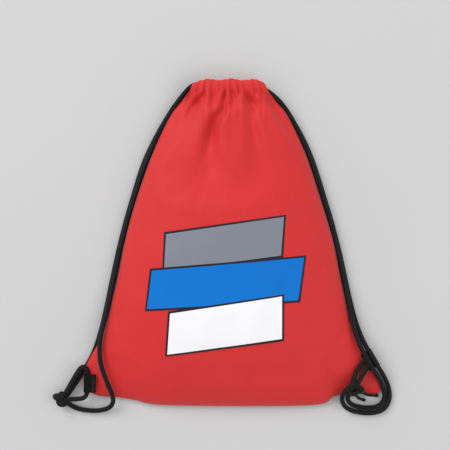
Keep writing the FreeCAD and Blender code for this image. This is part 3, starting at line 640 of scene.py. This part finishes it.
def open_ends(faces, x):
    """The faces less the hem's inner layer near the sides, where the cords come out of it."""
    inner = np.arange(ROWS + CASING_ROWS) >= ROWS + CASING_ROWS // 2
    outside = np.abs((x[1:] + x[:-1]) / 2) > OPEN_FROM
    kept = ~(inner[:, None] & outside[None, :])
    return faces.reshape(len(inner), len(outside), 4)[kept]


def sewn_bag():
    """Points, faces of the front, faces of the back and the held points of the whole bag."""
    front, back = panel_shapes()
    front = np.vstack([front, casing_shape(front, 1, *FRONT_CASING)])
    back = np.vstack([back, casing_shape(back, -1, *BACK_CASING)])
    rows, columns = front.shape[:2]
    front_index = np.arange(rows * columns).reshape(rows, columns)
    back_index = front_index + rows * columns
    sewn = int(SLIT_FROM * ROWS)
    back_index[0] = front_index[0]
    back_index[: sewn + 1, 0] = front_index[: sewn + 1, 0]
    back_index[: sewn + 1, -1] = front_index[: sewn + 1, -1]
    points = np.vstack([front.reshape(-1, 3), back.reshape(-1, 3)])
    pinned = np.zeros((rows, columns), bool)
    pinned[0] = pinned[:, 0] = pinned[:, -1] = True
    pinned[ROWS:] = True
    held = np.unique(np.concatenate([front_index[pinned], back_index[pinned]]))
    front_faces = open_ends(grid_faces(front_index, False), front[ROWS, :, 0])
    back_faces = open_ends(grid_faces(back_index, True), back[ROWS, :, 0])
    return points, front_faces, back_faces, held


SETTLE_FRAMES = 28
PRESSURE = 3.4
SPARE_CLOTH = 0.004
SETTLED_SHARE = 0.35         # the rest keeps the shape that the creases were drawn with


def settled(points, faces, held, floor):
    """The bag's points after a cloth simulation with pressure inside, its edges and casings held."""
    mesh = bpy.data.meshes.new("settling")
    mesh.from_pydata((points * MM).tolist(), [], faces.tolist())
    bag = bpy.data.objects.new("settling", mesh)
    bpy.context.collection.objects.link(bag)
    group = bag.vertex_groups.new(name="held")
    group.add(held.tolist(), 1.0, "REPLACE")
    cloth = bag.modifiers.new("cloth", "CLOTH")
    set_up = cloth.settings
    set_up.vertex_group_mass = "held"
    set_up.quality = 7
    set_up.mass = 0.12
    set_up.tension_stiffness = 25
    set_up.compression_stiffness = 25
    set_up.shear_stiffness = 8
    set_up.bending_stiffness = 1.0
    set_up.tension_damping = set_up.compression_damping = 8
    set_up.air_damping = 2
    set_up.use_pressure = True
    set_up.uniform_pressure_force = PRESSURE
    set_up.effector_weights.gravity = 0.05
    set_up.shrink_min = -SPARE_CLOTH
    cloth.collision_settings.distance_min = 0.6 * MM
    collision = floor.modifiers.new("collision", "COLLISION")
    floor.collision.thickness_outer = 0.3 * MM
    scene = bpy.context.scene
    for step in range(1, SETTLE_FRAMES + 1):
        scene.frame_set(step)
    shown = bag.evaluated_get(bpy.context.evaluated_depsgraph_get())
    result = np.array([v.co[:] for v in shown.data.vertices]) / MM
    bag.modifiers.remove(cloth)
    floor.modifiers.remove(collision)
    scene.frame_set(1)
    bpy.data.objects.remove(bag)
    bpy.data.meshes.remove(mesh)
    return result


def cloth_piece(name, points, faces, replaced):
    """One panel with its casing as a piece: only its own points, refined and given its thickness."""
    used, faces = np.unique(faces, return_inverse=True)
    faces = faces.reshape(-1, 4)
    piece = new_object(name, points[used], faces, "red_cloth")
    fine = piece.modifiers.new("fine", "SUBSURF")
    fine.levels = fine.render_levels = 1
    fine.boundary_smooth = "PRESERVE_CORNERS"
    thick = piece.modifiers.new("thick", "SOLIDIFY")
    thick.thickness = CLOTH_THICKNESS * MM
    thick.offset = -1
    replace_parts(piece, *replaced)
    return piece


def surface_of(piece):
    """The piece as it's seen, for finding heights on it."""
    bpy.context.view_layer.update()
    return BVHTree.FromObject(piece, bpy.context.evaluated_depsgraph_get())


def on_surface(tree, x, y, rise, side=1):
    """A place on the cloth over or under (x, y), and a rise away from it."""
    start = Vector((x, y, 200 * side)) * MM
    place, normal, _, _ = tree.ray_cast(start, Vector((0, 0, -side)))
    if place is None:
        return None
    slope = max(abs(normal.z), 0.4)
    return (x, y, place.z / MM + side * rise / slope)


def film(name, corners, tree, rise, slot):
    """A layer of ink inside four corners, laid on the cloth."""
    a, b, c, d = (np.array(corner, float) for corner in corners)
    across = int(max(math.dist(a, b), math.dist(d, c)) / FILM_GRID)
    up = int(max(math.dist(a, d), math.dist(b, c)) / FILM_GRID)
    points = []
    for j in range(up + 1):
        v = j / up
        for i in range(across + 1):
            u = i / across
            x, y = (1 - v) * ((1 - u) * a + u * b) + v * ((1 - u) * d + u * c)
            points.append(on_surface(tree, x, y, rise))
    index = np.arange(len(points)).reshape(up + 1, across + 1)
    return new_object(name, points, grid_faces(index, False), slot)


def grown(corners, margin):
    """The corners moved away from their middle by a margin in x and in y."""
    middle = np.mean(corners, axis=0)
    return [tuple(np.array(p) + margin * np.sign(np.array(p) - middle)) for p in corners]


def make_print(front):
    """The borders and the three bars, each a little above the one it overlaps."""
    tree = surface_of(front)
    borders = []
    for number, (name, corners) in enumerate(BARS.items()):
        rise = FILM + 2 * number * FILM_STEP
        borders.append(film(f"{name}_border", grown(corners, KEYLINE), tree, rise, "dark_ink"))
        bar = film(f"{name}_bar", corners, tree, rise + FILM_STEP, f"{name}_ink")
        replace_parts(bar, f"print_{name}_bar")
    keyline = joined("keyline", borders)
    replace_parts(keyline, "print_keyline")


def thread_tube(name, line, radius):
    """A plain sewing thread along a line."""
    sides, ups = frames_along(line)
    angle = np.arange(THREAD_SIDES) / THREAD_SIDES * 2 * np.pi
    points = (line[:, None] + radius * (sides[:, None] * np.cos(angle)[:, None]
                                        + ups[:, None] * np.sin(angle)[:, None]))
    index = np.arange(points.shape[0] * THREAD_SIDES).reshape(-1, THREAD_SIDES)
    index = np.hstack([index, index[:, :1]])
    return new_object(name, points.reshape(-1, 3), grid_faces(index, False), "red_thread")


def make_seams(points):
    """Thread inside the side and bottom seams, between the two panels a little way in from the edge."""
    columns = COLUMNS + 1
    rows = ROWS + CASING_ROWS + 1
    front = points[: rows * columns].reshape(rows, columns, 3)
    back = points[rows * columns:].reshape(rows, columns, 3)
    middle = (front + back) / 2
    last = int(0.9 * ROWS)
    for name, line in (
        ("left_side_seam_thread", middle[SEAM_INSET + 1:last, SEAM_INSET]),
        ("right_side_seam_thread", middle[SEAM_INSET + 1:last, -SEAM_INSET - 1]),
        ("bottom_seam_thread", middle[SEAM_INSET, 3 * SEAM_INSET:-3 * SEAM_INSET]),
    ):
        thread = thread_tube(f"{name}_sewn", resampled(line, SEAM_POINTS), SEAM_THREAD_RADIUS)
        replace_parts(thread, name)


def make_casing_stitches(name, piece, side):
    """Short stitches across the gathers where the casing is sewn, sunk into the cloth."""
    tree = surface_of(piece)
    stitches = []
    for number in range(STITCHES):
        x = (number - STITCHES // 2) * STITCH_PITCH
        y = STITCH_ROW + 0.5 * math.sin(0.9 * number)
        ends = [on_surface(tree, x + k, y, 0.02, side) for k in (-1.3, -0.6, 0.0, 0.6, 1.3)]
        if None not in ends:
            stitches.append(thread_tube(f"{name}_{number}", np.array(ends), STITCH_THREAD_RADIUS))
    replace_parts(joined(f"{name}_sewn", stitches), name)


def make_bag(floor):
    """The two cloth pieces, with the print, the seams and the casings' stitches that lie on them."""
    points, front, back, held = sewn_bag()
    rested = settled(points, np.vstack([front, back]), held, floor)
    points = points + SETTLED_SHARE * (rested - points)
    front_piece = cloth_piece("front_cloth", points, front, ["front_panel", "front_casing"])
    back_piece = cloth_piece("back_cloth", points, back, ["back_panel", "back_casing"])
    make_print(front_piece)
    make_seams(points)
    make_casing_stitches("front_casing_stitching", front_piece, 1)
    make_casing_stitches("back_casing_stitching", back_piece, -1)


# ---------------------------------------------------------------- floor and lights

FLOOR_HALF_M = 4.0


def make_floor():
    """A plain pale floor, which the simulated cloth also collides with."""
    mesh = bpy.data.meshes.new("floor")
    half = FLOOR_HALF_M
    corners = [(-half, -half, 0), (half, -half, 0), (half, half, 0), (-half, half, 0)]
    mesh.from_pydata(corners, [], [(0, 1, 2, 3)])
    nodes = Nodes("studio_floor")
    tone = nodes.blend(nodes.mottle(3.0, 2.0), colour(203, 203, 204), colour(206, 206, 207))
    nodes.set(Base_Color=tone, Roughness=0.9, Specular_IOR_Level=0.1)
    mesh.materials.append(nodes.material)
    floor = bpy.data.objects.new("floor", mesh)
    bpy.context.collection.objects.link(floor)
    return floor


def area_light(name, place, size, power):
    """A round white light aimed at the origin: its place and width in metres, its power in watts."""
    data = bpy.data.lights.new(name, "AREA")
    data.shape = "DISK"
    data.size = size
    data.energy = power
    light = bpy.data.objects.new(name, data)
    light.location = place
    light.rotation_euler = (-light.location).to_track_quat("-Z", "Y").to_euler()
    bpy.context.collection.objects.link(light)


def make_lights():
    """Soft studio light from all round, with a key light from the upper left."""
    area_light("key", (-2.2, 2.4, 2.5), 2.6, 92)
    area_light("fill", (1.4, -0.6, 1.8), 2.4, 13)
    world = bpy.data.worlds.new("studio")
    world.use_nodes = True
    background = world.node_tree.nodes["Background"]
    background.inputs["Color"].default_value = (1, 1, 1, 1)
    background.inputs["Strength"].default_value = 0.64
    bpy.context.scene.world = world
    bpy.context.scene.view_settings.view_transform = "Standard"


def finish_cad_nodes():
    """Give every CAD piece that stays its material, which its own material's name says."""
    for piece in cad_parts.values():
        for holder in piece.material_slots:
            holder.material = MATERIALS[holder.material.name.split(".")[0]]


make_camera()
make_cords()
make_bag(make_floor())
make_lights()
finish_cad_nodes()
